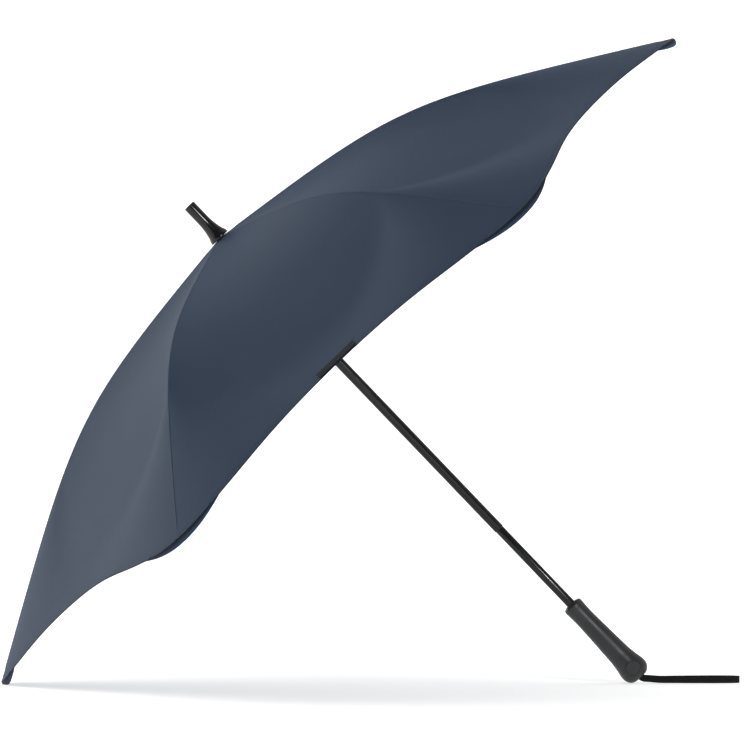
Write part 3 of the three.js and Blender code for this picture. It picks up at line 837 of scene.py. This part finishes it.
# The grip's outline, as its radius and its height above the grip's top
GRIP_PROFILE = [
    [11.6, 0],
    [12.9, -0.8],
    [13.5, -2.4],
    [13.6, -4.5],
    [13.1, -10],
    [12.7, -25],
    [13.5, -50],
    [14.5, -75],
    [15.2, -91],
    [16.7, -103],
    [18.1, -110],
    [18.8, -115],
    [18.7, -119],
    [17.6, -123],
    [15.4, -126.5],
    [12.4, -129],
    [10, -130],
]


def cut_out(obj, cutter):
    """Cuts one closed piece out of another."""
    cut = obj.modifiers.new("cut", "BOOLEAN")
    cut.operation = "DIFFERENCE"
    cut.solver = "EXACT"
    cut.object = cutter
    graph = bpy.context.evaluated_depsgraph_get()
    obj.data = bpy.data.meshes.new_from_object(obj.evaluated_get(graph))
    obj.modifiers.remove(cut)
    bpy.data.objects.remove(cutter)


def to_disc(points):
    """From upright about the origin to lying on the grip's side, with its top facing the viewer."""
    x, y, z = np.asarray(points).T
    return np.stack([x, -z, y + DISC_AT], 1)


def handle():
    """The rubber grip, with a seat cut into its bulb's side for the blank disc."""
    profile = np.array(GRIP_PROFILE) + [0, GRIP_TOP]
    outline = [[9.3, GRIP_TOP], *smooth_profile(profile, 130), [9.3, GRIP_END]]
    grip = turned("handle_rubber", outline, grip_paint, sides=96)
    seat = turned(
        "seat",
        [[0, DISC_DEPTH - 2.3], [DISC_R + 0.3, DISC_DEPTH - 2.3], [DISC_R + 0.3, 30], [0, 30]],
        grip_paint,
        stand=to_disc,
    )
    cut_out(grip, seat)
    grip.data.set_sharp_from_angle(angle=SHARP)
    face = DISC_DEPTH
    disc = turned("handle_badge_blank", [
        [0, face - 2],
        [DISC_R - 0.3, face - 2],
        [DISC_R, face - 1.7],
        [DISC_R, face - 0.35],
        [DISC_R - 0.1, face - 0.1],
        [DISC_R - 0.4, face],
        [DISC_R - 1.0, face],
        [DISC_R - 1.3, face - 0.25],
        [0, face - 0.25],
    ], disc_paint, stand=to_disc)
    for piece, node in ((grip, "handle_grip"), (disc, "handle_disc")):
        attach(piece, "shaft")
        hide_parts(node)


ferrule()
handle()


# Wrist strap ----------------------------------------------------------------------------------------


def between(a, b, at_a, at_b, t):
    """Runs from a to b as t runs from one knot to the other."""
    return a * (at_b - t) / (at_b - at_a) + b * (t - at_a) / (at_b - at_a)


def spline(points, per_span=8):
    """A centripetal Catmull-Rom curve through these points."""
    points = np.asarray(points, float)
    p = np.concatenate([[2 * points[0] - points[1]], points, [2 * points[-1] - points[-2]]])
    knots = np.concatenate([[0], np.cumsum(np.linalg.norm(np.diff(p, axis=0), axis=1) ** 0.5)])
    made = []
    for i in range(1, len(p) - 2):
        t = np.linspace(knots[i], knots[i + 1], per_span, endpoint=False)[:, None]
        k0, k1, k2, k3 = knots[i - 1 : i + 3]
        p0, p1, p2, p3 = p[i - 1 : i + 3]
        a1, a2, a3 = between(p0, p1, k0, k1, t), between(p1, p2, k1, k2, t), between(p2, p3, k2, k3, t)
        b1, b2 = between(a1, a2, k0, k2, t), between(a2, a3, k1, k3, t)
        made.append(between(b1, b2, k1, k2, t))
    return np.concatenate([*made, points[-1:]])


def strap_route():
    """The strap's centreline in millimetres in the model's frame: out along the floor and back."""
    mouth = place([[0, 0, GRIP_END + 0.7]])[0] / MM
    lying = STRAP_WIDTH / 2 + 0.2
    half = [
        [-5.5, 0.7, mouth[2] + 5.8],
        [0, 1.1, mouth[2]],
        [4, 1.6, mouth[2] - 2.2],
        [12, 2.2, lying + 1.1],
        [24, 3.6, lying + 0.1],
        [48, 7.6, lying],
        [76, STRAP_OPEN - 1, lying],
        [100, STRAP_OPEN, lying],
        [119, 9.6, lying],
        [STRAP_REACH - 1.6, 4.4, lying],
    ]
    start = np.array([mouth[0], mouth[1], 0])
    out = [start + np.array([x, -y, z]) for x, y, z in half]
    back = [start + np.array([x, y, z]) for x, y, z in half[::-1]]
    return spline([*out, start + np.array([STRAP_REACH, 0, lying]), *back]), mouth


def wrist_strap():
    """A loop of flat webbing that stands on its edge."""
    path, mouth = strap_route()
    forward = np.gradient(path, axis=0)
    forward /= np.linalg.norm(forward, axis=1)[:, None]
    wide = np.array([0, 0, 1]) - forward * forward[:, 2:]
    wide /= np.linalg.norm(wide, axis=1)[:, None]
    thick = np.cross(forward, wide)
    section = soften(oblong(-STRAP_WIDTH / 2, -STRAP_THICK / 2), share=0.05)
    rings = path[:, None] + section[None, :, :1] * wide[:, None] + section[None, :, 1:] * thick[:, None]
    rows, columns = rings.shape[:2]
    run = lengths_along(path)
    flat = np.stack([np.tile(section[:, 0], rows), np.repeat(run, columns)], 1)
    mesh = smooth_mesh("wrist_strap_band", rings.reshape(-1, 3) * MM, tube_faces(rows, columns), flat)
    mesh.set_sharp_from_angle(angle=math.radians(50))
    strap = new_object("wrist_strap_band", mesh, tape_paint)
    face_outward(strap)
    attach(strap, "shaft")
    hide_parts("wrist_strap")


wrist_strap()


# CAD pieces that stay ---------------------------------------------------------------------------------

WEAR = 0.00018  # metres: the width of a worn edge

NODE_PAINTS = {
    "crown": plastic,
    "crown_wire": spring_metal,
    "shaft_tube": shaft_paint,
    "shaft_stem": shaft_paint,
    "top_catch": spring_metal,
    "lower_catch": spring_metal,
    "runner": plastic,
    "handle_core": plastic,
    "rib": rib_metal,
    "outer_rib": fibre,
    "stretcher": rib_metal,
    "tip_hub": plastic,
    "tip_arm_left": plastic,
    "tip_arm_right": plastic,
}


def finish_node(node, material):
    """Gives a CAD piece its material, smooth round faces and slightly worn edges."""
    node.data.materials.clear()
    node.data.materials.append(material)
    node.data.polygons.foreach_set("material_index", [0] * len(node.data.polygons))
    node.data.polygons.foreach_set("use_smooth", [True] * len(node.data.polygons))
    weld = node.modifiers.new("weld", "WELD")
    weld.merge_threshold = 1e-6
    edges = node.modifiers.new("edges", "BEVEL")
    edges.width = WEAR
    edges.segments = 2
    edges.limit_method = "ANGLE"
    edges.angle_limit = math.radians(32)
    edges.harden_normals = True


for name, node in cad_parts.items():
    kind = name.rstrip("0123456789").rstrip("_")
    if kind in NODE_PAINTS:
        finish_node(node, NODE_PAINTS[kind])


# Studio ---------------------------------------------------------------------------------------------

FLOOR_HALF = 300
FLOOR_Z = -0.0003  # just under what rests on it

floor_mesh = bpy.data.meshes.new("floor")
corners = [(-1, -1), (1, -1), (1, 1), (-1, 1)]
floor_mesh.from_pydata([(x * FLOOR_HALF, y * FLOOR_HALF, FLOOR_Z) for x, y in corners], [], [(0, 1, 2, 3)])
floor_paint = Paint(
    "floor",
    (0.95, 0.95, 0.95),
    0.8,
    Specular_IOR_Level=0.1,
    Emission_Color=(1, 1, 1, 1),
    Emission_Strength=0.5,
)
floor = new_object("floor", floor_mesh, floor_paint.material)


def sun(name, bearing, up, strength, softness):
    """A lamp far away, at a bearing from the viewer's side and a height, as wide as this, in degrees."""
    lamp = bpy.data.lights.new(name, "SUN")
    lamp.energy = strength
    lamp.angle = math.radians(softness)
    obj = bpy.data.objects.new(name, lamp)
    obj.rotation_euler = (-point_at(bearing, up, 1)).to_track_quat("-Z", "Y").to_euler()
    bpy.context.scene.collection.objects.link(obj)


sun("left", -128, 14, 2.2, 40)
sun("top", -120, 66, 0.7, 70)
sun("glint", 21.8, 19.6, 1.2, 7)

# A world that is brightest behind the umbrella and dim behind the viewer
world = bpy.data.worlds.new("studio")
bpy.context.scene.world = world
world.use_nodes = True
world_tree = world.node_tree
direction = world_tree.nodes.new("ShaderNodeSeparateXYZ")
world_tree.links.new(world_tree.nodes.new("ShaderNodeTexCoord").outputs["Generated"], direction.inputs[0])
brightness = world_tree.nodes.new("ShaderNodeMapRange")
brightness.interpolation_type = "SMOOTHSTEP"
for socket, value in {"From Min": -0.9, "From Max": 0.6, "To Min": 0.06, "To Max": 0.75}.items():
    brightness.inputs[socket].default_value = value
world_tree.links.new(direction.outputs["Y"], brightness.inputs["Value"])
world_tree.links.new(brightness.outputs[0], world_tree.nodes["Background"].inputs["Strength"])
world_tree.nodes["Background"].inputs["Color"].default_value = (1, 1, 1, 1)

bpy.context.scene.view_settings.view_transform = "Standard"
